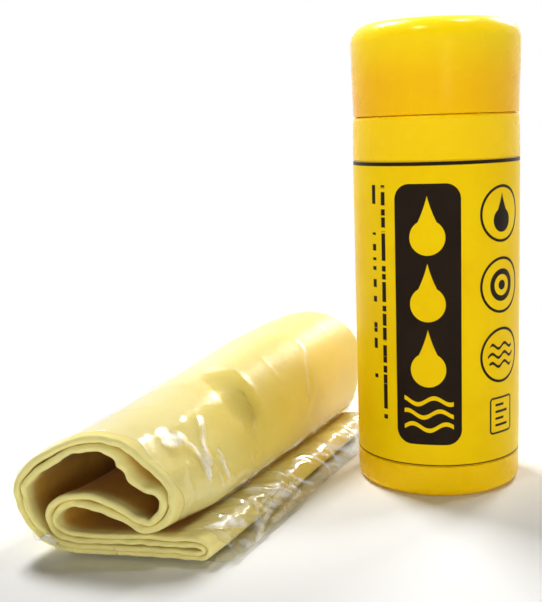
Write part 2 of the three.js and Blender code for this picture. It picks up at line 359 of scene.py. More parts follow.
def label_material():
    s = material_shader("label_print")
    coords = s.node("ShaderNodeTexCoord")
    u, v, _ = s.split(coords.outputs["UV"])
    p = Print(u * (1 / MM), v * (1 / MM))
    inks = [panel_ink(p), sheet_ink(p)]
    inks += [roundel_ink(p, y, sign) for y, sign in ROUNDELS]
    inks += [rule_ink(s, p, k, rule) for k, rule in enumerate(RULES)]
    # border lines at both edges
    inks.append(p.ink((p.v - (LABEL_HIGH - 0.75)).abs() - 0.7))
    low_line = p.ink((p.v - (LABEL_LOW + 0.4)).abs() - 0.26)
    ink = highest(inks)
    where = coords.outputs["Object"]
    cloud = s.noise(where, scale=60, detail=3, roughness=0.55).ramp(*CLOUDY)
    colour = s.mix(ink, s.mix(cloud, *LABEL_YELLOWS), s.mix(cloud, *INK_BLACKS))
    colour = s.mix(low_line, colour, INK_BROWN)
    smear = s.noise(where, scale=150, detail=4, roughness=0.6)
    ripple = s.noise(where, scale=320, detail=2)
    normal = s.bump(ripple - ink * 0.2, distance=0.00006, strength=0.5)
    return s.finish(s.principled(Base_Color=colour, Roughness=smear.ramp(*SMEARED, 0.3, 0.42), Normal=normal,
                                 IOR=1.2, Specular_Tint=(1, 0.9, 0.5, 1)))


# Cloth colours: outside, with painted shade on the side away from the lamps, with painted shade inside the
# roll, on the cut edge and in the pores
CHAMOIS_PALE = (linear(250, 236, 154), linear(247, 229, 138))
CHAMOIS_OUTER_SHADE = (linear(241, 218, 96), linear(236, 210, 84))
CHAMOIS_INNER_SHADE = (linear(204, 146, 14), linear(184, 124, 10))
CHAMOIS_CUT = linear(253, 241, 158)
CHAMOIS_PORE = linear(205, 170, 70)


def chamois_material():
    """Synthetic chamois: a dense, matt sponge with fine pores and soft mottling."""
    s = material_shader("chamois")
    where = s.place()
    mottle = s.noise(where, scale=55, detail=4, roughness=0.6).ramp(*MOTTLED)
    # painted shade on the outside: deeper yellow where less light falls
    outside = s.mix(s.attribute("painted_outer_shade"), s.mix(mottle, *CHAMOIS_PALE), s.mix(mottle, *CHAMOIS_OUTER_SHADE))
    # painted shade inside the roll and in the crease
    colour = s.mix(s.attribute("painted_inner_shade"), outside, s.mix(mottle, *CHAMOIS_INNER_SHADE))
    colour = s.mix(s.attribute("cut") * 0.85, colour, CHAMOIS_CUT)
    speck = s.voronoi(where, scale=1700).ramp(0.08, 0.3)
    colour = s.mix(speck.ramp(0.0, 1.0, 0.22, 0.0), colour, CHAMOIS_PORE)
    fine = s.noise(where, scale=2400, detail=3, roughness=0.65)
    coarse = s.noise(where, scale=420, detail=3, roughness=0.6)
    normal = s.bump(speck * 0.6 + fine * 0.5 + coarse * 0.9, distance=0.00022, strength=0.7)
    rough = fine.ramp(*GRAINY, 0.82, 0.95)
    return s.finish(s.principled(Base_Color=colour, Roughness=rough, Normal=normal,
                                 Specular_IOR_Level=0.2, Sheen_Weight=0.08, Sheen_Roughness=0.4))


FILM_WHITES = (linear(252, 252, 249), linear(244, 245, 242))
FILM_PAINTED_SHADE = linear(136, 124, 64)
FILM_CLEAR = (0.99, 0.99, 0.985, 1)
FILM_MOST_COVER = 0.9
FILM_MARKS = ("haze", "cling", "painted_gleam", "painted_dent_shade", "crease")


def film_material():
    """Clear crinkled film: see-through face on, mirror-like at a slant, slightly milky on the folds."""
    s = material_shader("film")
    where = s.place()
    haze, cling, painted_gleam, painted_dent_shade, crease = (s.attribute(name) for name in FILM_MARKS)
    crinkle = s.noise(where, scale=70, detail=2, distortion=0.8)
    fine = s.noise(where, scale=520, detail=2, distortion=0.6)
    normal = s.bump((crinkle - 0.5).abs() * -1.0 + fine * 0.03, distance=0.001, strength=0.2)
    edge = Number(s, s.node("ShaderNodeLayerWeight", {"Blend": 0.5, "Normal": normal}).outputs["Facing"])
    cover = edge.power(4.0) * 0.5 * (cling * -0.6 + 1.0) + haze * 0.22 + 0.035
    # painted highlight: the painted gleam adds white cover, half diffuse white and half a rough mirror that
    # catches the lamps
    cover = cover * (crease * -0.9 + 1.0) + painted_gleam * 0.6 + painted_dent_shade * 0.11
    colour = s.mix(crinkle.ramp(*GRAINY), *FILM_WHITES)
    # painted shade: grey film over the dent
    colour = s.mix(painted_dent_shade.ramp(0.02, 0.12), colour, FILM_PAINTED_SHADE)
    metal = haze.ramp(0.0, 1.0, 1.0, 0.55)
    metal = metal * painted_gleam.ramp(0.0, 0.4, 1.0, 0.5) * painted_dent_shade.ramp(0.0, 0.3, 1.0, 0.0)
    rough = fine.ramp(*GRAINY, 0.13, 0.22) + cling * 0.26 + painted_gleam * 0.22
    gloss = s.principled(Base_Color=colour, Metallic=metal, Roughness=rough, Normal=normal)
    clear = s.node("ShaderNodeBsdfTransparent", {"Color": FILM_CLEAR})
    return s.finish(s.blend(cover.min(FILM_MOST_COVER), clear, gloss))


plastic = moulded_plastic("canister_plastic", CANISTER_YELLOWS, CANISTER_PAINTED_LIGHT_LEVELS, roughness=0.3)
cap_plastic = moulded_plastic("cap_plastic", CAP_YELLOWS, CAP_PAINTED_LIGHT_LEVELS, roughness=0.24)
foam = foam_material()
label_print = label_material()
chamois = chamois_material()
film = film_material()


# Mesh making
def add_mesh(name, points, faces, material, sharp_angle=None):
    data = bpy.data.meshes.new(name)
    data.from_pydata([tuple(p) for p in points], [], faces)
    data.validate()
    tidy = bmesh.new()
    tidy.from_mesh(data)
    bmesh.ops.recalc_face_normals(tidy, faces=tidy.faces)
    tidy.to_mesh(data)
    tidy.free()
    data.shade_smooth()
    if sharp_angle is not None:
        data.set_sharp_from_angle(angle=math.radians(sharp_angle))
    data.materials.append(material)
    return add_object(name, data)


def set_marks(made, marks):
    """Stores named values of the points, from 0 to 1, for the materials."""
    for name, values in marks.items():
        attribute = made.data.attributes.new(name, "FLOAT", "POINT")
        attribute.data.foreach_set("value", values.clip(0, 1).astype(np.float32))


def grid_faces(numbers, closed=False):
    """Faces between neighbours in a grid of point numbers. The rows of a closed grid are rings."""
    if closed:
        numbers = np.hstack([numbers, numbers[:, :1]])
    corners = (numbers[:-1, :-1], numbers[:-1, 1:], numbers[1:, 1:], numbers[1:, :-1])
    return np.stack(corners, -1).reshape(-1, 4).tolist()


def fan_faces(tip, ring):
    return [(tip, a, b) for a, b in zip(ring.tolist(), np.roll(ring, -1).tolist())]


def round_axis(r, angle, z):
    """A place round the canister's axis, from a radius and a height in mm."""
    return (AXIS_X + r * MM * math.cos(angle), AXIS_Y + r * MM * math.sin(angle), z * MM)


def arc(r, z, radius, start, end, steps):
    found = []
    for i in range(steps + 1):
        angle = math.radians(start + (end - start) * i / steps)
        found.append((r + radius * math.cos(angle), z + radius * math.sin(angle)))
    return found


LATHE_SEGMENTS = 144
SHARP_EDGE = 40


def lathe(name, profile, material):
    """A closed solid of revolution about the canister's axis. The profile starts and ends on the axis."""
    angles = [TURN * k / LATHE_SEGMENTS for k in range(LATHE_SEGMENTS)]
    points = [round_axis(0, 0, profile[0][1]), round_axis(0, 0, profile[-1][1])]
    points += [round_axis(r, angle, z) for r, z in profile[1:-1] for angle in angles]
    rings = np.arange(2, len(points)).reshape(-1, LATHE_SEGMENTS)
    faces = grid_faces(rings, closed=True) + fan_faces(0, rings[0][::-1]) + fan_faces(1, rings[-1])
    return add_mesh(name, points, faces, material, SHARP_EDGE)


# Canister body: the form of the solid with finer edges, as radius and height in mm
CANISTER_PROFILE = [
    (0, 1.6), (23.2, 1.6), (23.5, 1.5), (25.3, 0.1), (25.6, 0.0),
    *arc(29.5, 3.5, 3.5, -90, 0, 14),
    (33, 11.9), *arc(32.7, 12.2, 0.3, 0, 60, 4), (32.3, 12.5), (32.3, 130.9),
    *arc(32.7, 131.3, 0.3, -60, 0, 4), (33, 134), (32.92, 138), (32.8, 142),
    *arc(31.05, 146.22, 1.6, 0, 90, 12), *arc(29.9, 148.32, 0.5, 270, 180, 5),
    *arc(28.8, 171.4, 0.6, 0, 90, 6), *arc(28.0, 171.4, 0.6, 90, 180, 6),
    (27.4, 146), (30.7, 139), *arc(27.7, 6.2, 3, 0, -90, 8), (0, 3.2),
]
canister = lathe("canister_shell", CANISTER_PROFILE, plastic)
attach(canister, "canister")
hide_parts("canister_body")

# Screw cap, with a seal rib under its ceiling and a round inner corner
CAP_CEILING = 181.4
CAP_BORE = 30.9
CAP_CORNER = 6
RIB_OUTER = 29.1
corner_start = math.degrees(math.acos((RIB_OUTER - CAP_BORE + CAP_CORNER) / CAP_CORNER))
CAP_PROFILE = [
    (0, CAP_CEILING), (27.5, CAP_CEILING), (27.7, CAP_CEILING - 0.2),
    (27.7, 174.3), (27.9, 174.1), (28.9, 174.1),
    *arc(CAP_BORE - CAP_CORNER, CAP_CEILING - CAP_CORNER, CAP_CORNER, corner_start, 0, 8),
    (CAP_BORE, 148.6), *arc(31.2, 148.2, 0.3, 180, 270, 4),
    *arc(32.1, 148.4, 0.5, -90, 0, 6), (32.75, 157), (33.0, 166), (33.15, 172),
    *arc(25.2, 175.6, 8, 0, 85, 22), (20, 183.75), (10, 183.94), (0, 184),
]
cap = lathe("cap_shell", CAP_PROFILE, cap_plastic)
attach(cap, "cap")
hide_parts("screw_cap")

# Screw thread: two starts on the neck and two in the cap, each a tapered ridge
THREAD_LEAD = 9.0
THREAD_STARTS = 2
THREAD_LOW = 153.0
THREAD_STEPS = 72
THREAD_SINK = 0.15
THREAD_FOOT = 1.05
THREAD_CREST = 0.5
THREAD_TAPER = 0.05
THREAD_FADE = 12
THREAD_SHARP = 35
HALF_PITCH = THREAD_LEAD / THREAD_STARTS / 2


def thread(name, root, crest, low, turns, material, body):
    steps = int(turns * THREAD_STEPS)
    foot = root - math.copysign(THREAD_SINK, crest - root)
    points, faces = [], []
    for start in range(THREAD_STARTS):
        base = len(points)
        for i in range(steps + 1):
            share = i / steps
            angle = TURN * (turns * share + start / THREAD_STARTS)
            z = low + THREAD_LEAD * turns * share
            fade = min(1, share * THREAD_FADE, (1 - share) * THREAD_FADE)
            top = root + (crest - root) * (THREAD_TAPER + (1 - THREAD_TAPER) * fade)
            section = ((foot, -THREAD_FOOT), (top, -THREAD_CREST), (top, THREAD_CREST), (foot, THREAD_FOOT))
            points += [round_axis(r, angle, z + up) for r, up in section]
        rings = np.arange(base, len(points)).reshape(-1, len(section))
        faces += grid_faces(rings, closed=True) + [rings[0][::-1].tolist(), rings[-1].tolist()]
    made = add_mesh(name, points, faces, material, THREAD_SHARP)
    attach(made, body)


thread("neck_thread", 29.4, 30.4, THREAD_LOW, 1.35, plastic, "canister")
thread("cap_thread", CAP_BORE, 29.95, THREAD_LOW - HALF_PITCH, 1.1, cap_plastic, "cap")

# Wrap label: a thin band with its ends close together at the back
LABEL_INNER = 32.6
LABEL_OUTER = 33.0
LABEL_BEVEL = 0.08
LABEL_HALF_GAP = 1.5
LABEL_MARGIN = 3
LABEL_ROWS = 12
LABEL_STEPS = 160
LABEL_FRONT = math.atan2(CAMERA_PLACE[1] - AXIS_Y, CAMERA_PLACE[0] - AXIS_X)


def make_label():
    # the band's cut: up the inside and down the outside
    rows = np.linspace(LABEL_LOW + LABEL_MARGIN, LABEL_HIGH - LABEL_MARGIN, LABEL_ROWS)
    levels = [LABEL_LOW, LABEL_LOW + LABEL_BEVEL, *rows, LABEL_HIGH - LABEL_BEVEL, LABEL_HIGH]
    loop = [(LABEL_INNER, z) for z in levels]
    for z in reversed(levels):
        bevel = LABEL_BEVEL if z in (LABEL_LOW, LABEL_HIGH) else 0
        loop.append((LABEL_OUTER - bevel, z))
    half_gap = LABEL_HALF_GAP / LABEL_OUTER
    start = math.pi / 2 + half_gap
    sweep = TURN - 2 * half_gap
    points, flat = [], []
    for i in range(LABEL_STEPS + 1):
        angle = start + sweep * i / LABEL_STEPS
        turned = (angle - LABEL_FRONT + math.pi) % TURN - math.pi
        for r, z in loop:
            points.append(round_axis(r, angle, z))
            flat.append((turned * LABEL_OUTER * MM, z * MM))
    rings = np.arange(len(points)).reshape(-1, 2, len(loop) // 2)
    faces = grid_faces(rings.reshape(-1, len(loop)), closed=True)
    for inner, outer in (rings[0], rings[-1]):
        faces += grid_faces(np.stack([inner, outer[::-1]]))
    made = add_mesh("label_band", points, faces, label_print, SHARP_EDGE)
    layer = made.data.uv_layers.new(name="wrap")
    for polygon in made.data.polygons:
        for k in polygon.loop_indices:
            layer.data[k].uv = flat[made.data.loops[k].vertex_index]
    return made


label = make_label()
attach(label, "canister")
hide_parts("wrap_label")

# Liner under the cap: the solid's own disc
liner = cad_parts["cap_liner"]
liner.data.materials.clear()
liner.data.materials.append(foam)

# The rolled cloth. The scroll's points are the solid's, in mm.
CLOTH_PLY = 1.9
LAYER = 2 * CLOTH_PLY + 0.5
FOLD = 2 * CLOTH_PLY + 0.9
CURL = LAYER + 2 * CLOTH_PLY + 0.5
NEAR_FLAP = 41.0
FAR_FLAP = 38.5
ROLL_LENGTH = 165.0
ROLL_TURN = math.radians(25.5)
ROLL_SKEW = 0.25
ROLL_AHEAD = 129.7
ROLL_ASIDE = 83.984848
FLOOR_FILM = 0.45 + 0.6 + 0.18
FRONT_LIFT = 0.3
FRONT_LIFT_LENGTH = 26.0
FRONT_LIFT_HEIGHT = 24
SETTLE_SHARE = 0.2
ALONG = np.array([math.sin(ROLL_TURN), math.cos(ROLL_TURN), 0])
ACROSS = np.array([math.cos(ROLL_TURN), -math.sin(ROLL_TURN), 0])
UP = np.array([0, 0, 1.0])

# Knots of the scroll, by their numbers, in the order in which the strip is wound
FLOOR_END = 2
LEFT = 4
UPPER_LEFT = 5
TOP_LEFT = 7
TOP = 8
SHOULDER = 10
FLANK = 12
FLANK_LOW = 13
CURL_LOW = 14
TONGUE = 16
TONGUE_TOP = 17
TONGUE_BACK = 18
TONGUE_LEFT = 20
RETURN = 21
SECOND_LAYER = 22
FLAP = 23
FLAP_OUT = 24


def flap_fold(reach):
    """The half-round fold at the flap's edge, from the second layer down to the floor run."""
    radius = FOLD / 2
    centre = reach - CLOTH_PLY - radius
    turned = np.radians([90, 45, 0, -45, -90])
    return [(centre + radius * math.cos(a), radius + radius * math.sin(a)) for a in turned]


NEAR_SCROLL = np.array([
    (6.5, 0), (-4, 0), (-13, 1.2), (-21.5, 6), (-26.2, 15.5), (-25.2, 25.2), (-17.5, 32.2), (-8, 37.4),
    (3, 39.5), (12, 36.4), (18.6, 29.6), (24.2, 24.6), (26.2, 18.4), (24.6, 12.4), (21.6, 9.7), (17, CURL),
    (9.5, 12.2), (0, 16.4), (-9, 16.8), (-15.2, 12.6), (-15, 7.2), (-9.5, LAYER + 0.2), (5, LAYER),
    (20, LAYER), (29, LAYER + 0.2), *flap_fold(NEAR_FLAP), (24, 0), (6.58, 0)])
FAR_SCROLL = np.array([
    (6.7, 0), (-3, 0), (-12, 1.2), (-21, 7.5), (-25.5, 18.5), (-23.5, 31), (-15.5, 42), (-4, 50),
    (9, 53.5), (22, 51), (30, 43), (32.8, 32), (31.2, 22), (29.2, 14), (26.8, 9.7), (19.6, CURL),
    (9.5, 12.6), (0, 20), (-8, 22), (-13.5, 16), (-12.5, 8), (-7, LAYER + 0.4), (5, LAYER),
    (18, LAYER), (27, LAYER + 0.2), *flap_fold(FAR_FLAP), (22, 0), (6.78, 0)])
CURL_SETTLE = np.zeros_like(NEAR_SCROLL)
CURL_SETTLE[FLANK:TONGUE] = ((2.4, -2.4), (3.6, -1.6), (4.3, -0.4), (3, 0))


def roll_point(distance, side, up):
    """Places in metres from distance along the roll, sideways and up, in mm. The near end lifts a little."""
    distance, side, up = np.broadcast_arrays(distance, side, up)
    lift = FRONT_LIFT * np.clip(1 - distance / FRONT_LIFT_LENGTH, 0, 1) ** 2
    up = up + lift * np.clip(1 - up / FRONT_LIFT_HEIGHT, 0, 1)
    ahead = distance + ROLL_SKEW * side - ROLL_AHEAD
    place = ahead[..., None] * ALONG + (side - ROLL_ASIDE)[..., None] * ACROSS + up[..., None] * UP
    return place * MM + np.array([AXIS_X, AXIS_Y, 0])


def smoothstep(x):
    x = np.clip(x, 0, 1)
    return x * x * (3 - 2 * x)


def rise(x, start, end):
    """A smooth step from 0 at the start to 1 at the end."""
    return smoothstep((x - start) / (end - start))


def bell(x, middle, width):
    """A soft hump, 1 at the middle."""
    return np.exp(-((x - middle) / width) ** 2)


def centripetal(points, per_span):
    """A centripetal Catmull-Rom line through the points."""
    first = 2 * points[0] - points[1]
    last = 2 * points[-1] - points[-2]
    p = np.vstack([first, points, last])
    line = []
    for i in range(1, len(p) - 2):
        p0, p1, p2, p3 = p[i - 1:i + 3]
        d0, d1, d2 = (math.sqrt(np.linalg.norm(b - a)) for a, b in ((p0, p1), (p1, p2), (p2, p3)))
        t1 = ((p1 - p0) / d0 - (p2 - p0) / (d0 + d1) + (p2 - p1) / d1) * d1
        t2 = ((p2 - p1) / d1 - (p3 - p1) / (d1 + d2) + (p3 - p2) / d2) * d1
        t = np.arange(per_span)[:, None] / per_span
        line.append(p1 + t1 * t + (-3 * p1 + 3 * p2 - 2 * t1 - t2) * t ** 2
                    + (2 * p1 - 2 * p2 + t1 + t2) * t ** 3)
    line.append(points[-1][None])
    return np.vstack(line)


def even(line, count):
    """A line's points shared out evenly by length, and the length."""
    gone = np.concatenate([[0], np.cumsum(np.linalg.norm(np.diff(line, axis=0), axis=1))])
    want = np.linspace(0, gone[-1], count)
    return np.stack([np.interp(want, gone, line[:, k]) for k in range(line.shape[1])], -1), gone[-1]


def softened(line, rounds):
    """Evens out the bends, with the ends kept."""
    for _ in range(rounds):
        line = line.copy()
        line[1:-1] = 0.25 * line[:-2] + 0.5 * line[1:-1] + 0.25 * line[2:]
    return line


SCROLL_POINTS = 260
SPAN_POINTS = 24
SOFT_ROUNDS = 3


def scroll_knots(share):
    """The scroll's points at a share of the length: the curl settles on the flap, the roll grows rounder."""
    near = NEAR_SCROLL + CURL_SETTLE * smoothstep(np.array(share / SETTLE_SHARE))
    far = smoothstep(np.array(share))
    return near + (FAR_SCROLL - near) * far + np.array([0, FLOOR_FILM + CLOTH_PLY])


def scroll_line(share, count=SCROLL_POINTS):
    """The middle of the double ply at a share of the length, its normal out of the roll, and its length."""
    line = even(centripetal(scroll_knots(share), SPAN_POINTS), count)[0]
    line, length = even(softened(line, SOFT_ROUNDS), count)
    heading = np.gradient(line, axis=0)
    heading /= np.linalg.norm(heading, axis=1, keepdims=True)
    normal = np.stack([-heading[:, 1], heading[:, 0]], -1)
    return line, normal, length


END_BULGE = 0.02
RIM_ANGLES = (50, 0, -50)
SHEET_SHARP = 62


def sheet_solid(name, middle, normal, half, material):
    """A closed sheet from a grid of middle points, each with its half thickness. Its edges are half-round
    and the strip's two ends nearly flat. Returns the object and each vertex's place in the grid."""
    rows, cols = middle.shape[:2]
    loop = [(0, j) for j in range(cols)] + [(i, cols - 1) for i in range(1, rows)]
    loop += [(rows - 1, j) for j in range(cols - 2, -1, -1)] + [(i, 0) for i in range(rows - 2, 0, -1)]
    i, j = np.array(loop).T
    # the way out of the sheet along its rim
    away = middle[i, j] - middle[i.clip(1, rows - 2), j.clip(1, cols - 2)]
    away = away - normal[i, j] * (away * normal[i, j]).sum(1, keepdims=True)
    bulge = np.where((j == 0) | (j == cols - 1), END_BULGE, 1.0)[:, None]
    away = away * bulge / np.linalg.norm(away, axis=1, keepdims=True)
    off = normal * half[..., None]
    points = [*(middle + off).reshape(-1, 3), *(middle - off).reshape(-1, 3)]
    place = [*np.ndindex(rows, cols)] * 2
    upper, under = np.arange(len(points)).reshape(2, rows, cols)
    rims = [upper[i, j]]
    for angle in np.radians(RIM_ANGLES):
        rims.append(len(points) + np.arange(len(loop)))
        turned = math.cos(angle) * away + math.sin(angle) * normal[i, j]
        points += [*(middle[i, j] + half[i, j, None] * turned)]
        place += loop
    rims = np.array([*rims, under[i, j]])[:, ::-1]
    faces = grid_faces(upper) + grid_faces(under[::-1]) + grid_faces(rims, closed=True)
    return add_mesh(name, points, faces, material, SHEET_SHARP), np.array(place)


NOISE_SHIFT = Vector((17.3, 5.9, 11.1))


def ripple(points, scale, seed):
    """Smooth noise at places, about -1 to 1."""
    shift = NOISE_SHIFT * seed
    found = np.array([noise.noise(Vector(p) * scale + shift) for p in points.reshape(-1, 3)])
    return found.reshape(points.shape[:-1])


# The film bag: taut round the roll and round the flap, crinkled, with a slack edge
FILM_DIRECTIONS = 720
FILM_AROUND = 300
FILM_STEPS = 140
FILM_ROOM = 0.75
FILM_SPAN_POINTS = 16
BAG_SLACK = 5.0
PLANE_STEP = 0.5
LEAST_FACING = 0.01
FILM_CENTRE = np.array([8, 3 + FLOOR_FILM + CLOTH_PLY])
FILM_PLACES = np.linspace(0, ROLL_LENGTH, FILM_STEPS)
AROUND = np.arange(FILM_AROUND) / FILM_AROUND


def taut(points, angles):
    """How far a taut film round the points reaches from the film's centre, for each direction."""
    planes = np.radians(np.arange(0, 360, PLANE_STEP))
    facing = np.stack([np.cos(planes), np.sin(planes)], -1)
    reach = ((points - FILM_CENTRE) @ facing.T).max(0) + FILM_ROOM
    towards = np.stack([np.cos(angles), np.sin(angles)], -1) @ facing.T
    return np.where(towards > LEAST_FACING, reach / np.maximum(towards, LEAST_FACING), np.inf).min(1)


def film_ring(share):
    """The film's outline at a share of the length, evenly spaced, from the slack edge over the roll."""
    knots = scroll_knots(share)
    line, out, _ = scroll_line(share, (len(knots) - 1) * FILM_SPAN_POINTS + 1)
    near = np.linalg.norm(line[:, None] - knots, axis=2).argmin(0)
    outside = line + out * CLOTH_PLY
    inside = line - out * CLOTH_PLY

    def part(first, end):
        return np.concatenate([outside[first:end], inside[first:end]])

    slack = np.array([NEAR_FLAP + (FAR_FLAP - NEAR_FLAP) * share + BAG_SLACK, FLOOR_FILM])
    start = math.atan2(slack[1] - FILM_CENTRE[1], slack[0] - FILM_CENTRE[0])
    angles = start + np.linspace(0, TURN, FILM_DIRECTIONS + 1)
    roll = taut(part(0, near[TONGUE]), angles)
    flap_points = [part(0, near[FLOOR_END]), part(near[RETURN], len(line)), slack[None]]
    flap = taut(np.vstack(flap_points), angles)
    reach = np.maximum(roll, flap)
    outline = np.stack([np.cos(angles), np.sin(angles)], -1) * reach[:, None] + FILM_CENTRE
    return even(outline, FILM_AROUND + 1)[0][:-1]


# A soft dent in the roll: places as (distance along, share round the film), depth and width in mm
DENT_LINE = ((72, 0.36), (64, 0.31), (61, 0.257), (61, 0.213))
DENT_DEPTH = 0.9
DENT_WIDTH = 8.0


def dent_depth(points):
    """How far the dent presses in at places in metres, in mm."""
    spots = [roll_point(d, *film_ring(d / ROLL_LENGTH)[round(s * FILM_AROUND)]) for d, s in DENT_LINE]
    off = np.full(points.shape[:-1], np.inf)
    for a, b in zip(spots, spots[1:]):
        gone = np.clip(((points - a) @ (b - a)) / ((b - a) @ (b - a)), 0, 1)
        off = np.minimum(off, np.linalg.norm(points - a - gone[..., None] * (b - a), axis=-1) / MM)
    return DENT_DEPTH * bell(off, 0, DENT_WIDTH)


# The sheet is folded once, at the far end: an outer ply (1), the fold (0) and an inner ply (-1)
PLY_HALF = 0.86
PLY_OFFSET = 0.95
NEAR_STEPS = (0, 1, 2.5)
NEXT_STEP = 5
ROLL_STEPS = 56
FOLD_ANGLES = (36, 72, 108, 144)
EDGE_SWELL = 0.45
SWELL_LENGTH = 13.0
SETBACK = {1: 0.9, 0: 0.5, -1: 0.5}
SETBACK_LENGTH = 14
EDGE_WAVE = {1: 0.9, 0: 0.7, -1: 0.7}
WAVE_END = 0.03
SHOULDER_PARTING = 4.6
TONGUE_PARTING = 0.7
PARTING_LENGTH = 24
RAGGED_SEED = 11
RAGGED_ROUNDS = 3
UNEVEN_ROUNDS = 8
RAGGED_DEPTH = 0.9
RAGGED_LENGTH = 4
LUMP_LENGTH = 12
SHEET_SHARES = np.linspace(0, 1, SCROLL_POINTS)


def ragged_line(random, rounds):
    """Uneven steps along the cut edge, about -1 to 1."""
    line = random.normal(0, 1, SCROLL_POINTS)
    for _ in range(rounds):
        line = 0.25 * np.roll(line, 1) + 0.5 * line + 0.25 * np.roll(line, -1)
    return line / np.abs(line).max()


def knot_shares(share):
    """Where the scroll's knots lie on its line, as shares of the line's points."""
    line = scroll_line(share)[0]
    nearest = np.linalg.norm(line[:, None] - scroll_knots(share), axis=2).argmin(0)
    return nearest / (SCROLL_POINTS - 1)


def cloth_rows():
    """The sheet's rows: distance along the roll, offset from the middle of the double ply, and ply."""
    far_end = ROLL_LENGTH - PLY_OFFSET - PLY_HALF
    steps = np.concatenate([NEAR_STEPS, np.linspace(NEXT_STEP, far_end, ROLL_STEPS)])
    rows = [(d, PLY_OFFSET, 1) for d in steps]
    for a in np.radians(FOLD_ANGLES):
        rows.append((far_end + PLY_OFFSET * math.sin(a), PLY_OFFSET * math.cos(a), 0))
    return rows + [(d, -PLY_OFFSET, -1) for d in steps[::-1]]


def cloth_grid(rows, at, free):
    """The middle of the sheet as a grid of places, its half thickness, and the strip's mean length."""
    u = SHEET_SHARES
    # the plies part at the near end: on the shoulder, on the tongue and a little elsewhere
    parting = SHOULDER_PARTING * rise(u, at[TOP], at[SHOULDER]) * rise(u, at[FLANK], at[SHOULDER])
    parting += TONGUE_PARTING * bell(u, at[TONGUE_TOP], 0.04) + 0.12 * np.sin(u * 23 + 1.3) ** 2
    wave = 0.7 * np.sin(u * 19 + 0.6) + 0.45 * np.sin(u * 47 + 2.1) + 0.25 * np.sin(u * 83)
    wave *= smoothstep(u / WAVE_END) * smoothstep((1 - u) / WAVE_END)
    random = np.random.default_rng(RAGGED_SEED)
    ragged = {ply: ragged_line(random, RAGGED_ROUNDS) for ply in (1, -1)}
    ragged[0] = np.zeros_like(u)
    uneven = ragged_line(random, UNEVEN_ROUNDS)
    middle, thickness, reach = [], [], []
    for distance, offset, ply in rows:
        line, out, length = scroll_line(min(distance / ROLL_LENGTH, 1))
        swell = EDGE_SWELL * free * math.exp(-distance / SWELL_LENGTH) * (1 + 0.4 * uneven)
        half = PLY_HALF + swell
        set_back = half + wave * EDGE_WAVE[ply] + SETBACK[ply]
        shift = set_back * math.exp(-distance / SETBACK_LENGTH)
        shift = shift + RAGGED_DEPTH * ragged[ply] * math.exp(-distance / RAGGED_LENGTH)
        inwards = swell
        if ply < 0:
            inwards = swell + parting * math.exp(-distance / PARTING_LENGTH) + 2 * swell
        spot = line + out * (offset - inwards)[:, None]
        middle.append(roll_point(distance + shift, spot[:, 0], spot[:, 1]))
        thickness.append(half * MM)
        reach.append(length)
    return np.array(middle), np.array(thickness), float(np.mean(reach))


def cloth_lumps(middle, distance, free):
    """Soft lumps in mm, calmer near the floor, with finer ones at the cut edges."""
    calm = np.clip((middle[..., 2] / MM - 8) / 14, 0.1, 1)
    lumps = 0.42 * ripple(middle, 30, 1) + 0.16 * ripple(middle, 85, 2)
    near = np.exp(-distance / LUMP_LENGTH)[:, None] * free[None]
    return lumps * calm + near * (0.34 * ripple(middle, 150, 4) + 0.2 * ripple(middle, 320, 5))


def cloth_marks(u, mark, distance, ply):
    """Values for the material. The marks are the shares of the scroll's knots at each point."""
    # painted shade: a deeper, browner colour on the inner ply inside the roll and in the crease over the
    # flap
    inside = np.where(ply < 0, 0.85, 0.0) * smoothstep((u - mark[FLOOR_END]) / 0.08)
    hidden = 0.9 * rise(u, mark[FLANK_LOW], mark[CURL_LOW])
    shown = smoothstep((mark[FLAP_OUT] - u) / (0.4 * (mark[FLAP_OUT] - mark[FLAP])))
    painted_inner_shade = np.maximum(inside, hidden) * shown * rise(distance, 0.5, 6.5)
    # painted shade: a deeper, darker yellow on the right flank, over the far top and on the far part of the
    # flap
    flank = rise(u, mark[TOP_LEFT], mark[SHOULDER]) * rise(distance, 25, 85)
    far_top = 0.6 * rise(u, mark[UPPER_LEFT], mark[TOP_LEFT]) * rise(distance, 75, 135)
    flap = 0.8 * (u > mark[SECOND_LAYER]) * rise(distance, 50, 100)
    painted_outer_shade = np.where(u < mark[TONGUE_BACK], np.maximum(flank, far_top), flap) * (ply >= 0)
    cut = np.exp(-np.maximum(distance - 0.6, 0) / 1.6)
    return {"painted_inner_shade": painted_inner_shade, "painted_outer_shade": painted_outer_shade, "cut": cut}


def make_cloth():
    rows = cloth_rows()
    distance, _, ply = np.array(rows).T
    near_at = knot_shares(0)
    far_at = knot_shares(1)
    # the cut edges swell, apart from the layers that lie on each other
    free = rise(SHEET_SHARES, near_at[FLOOR_END], near_at[LEFT])
    free = free * rise(SHEET_SHARES, near_at[TONGUE_LEFT], near_at[TONGUE_BACK])
    middle, thickness, length = cloth_grid(rows, near_at, free)
    normal = np.cross(np.gradient(middle, axis=1), np.gradient(middle, axis=0))
    normal /= np.linalg.norm(normal, axis=2, keepdims=True)
    moved = cloth_lumps(middle, distance, free) - dent_depth(middle) * ply[:, None]
    middle = middle + normal * (moved * MM)[..., None]
    made, place = sheet_solid("chamois_sheet", middle, normal, thickness, chamois)
    row, column = place.T
    far = smoothstep(distance[row] / ROLL_LENGTH)
    mark = near_at[:, None] + (far_at - near_at)[:, None] * far
    set_marks(made, cloth_marks(column / (SCROLL_POINTS - 1), mark, distance[row], ply[row]))
    return made, (2 * ROLL_LENGTH * MM, length * MM)


cloth, cloth_flat = make_cloth()
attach(cloth, "wrapped_roll")
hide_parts("chamois_cloth")

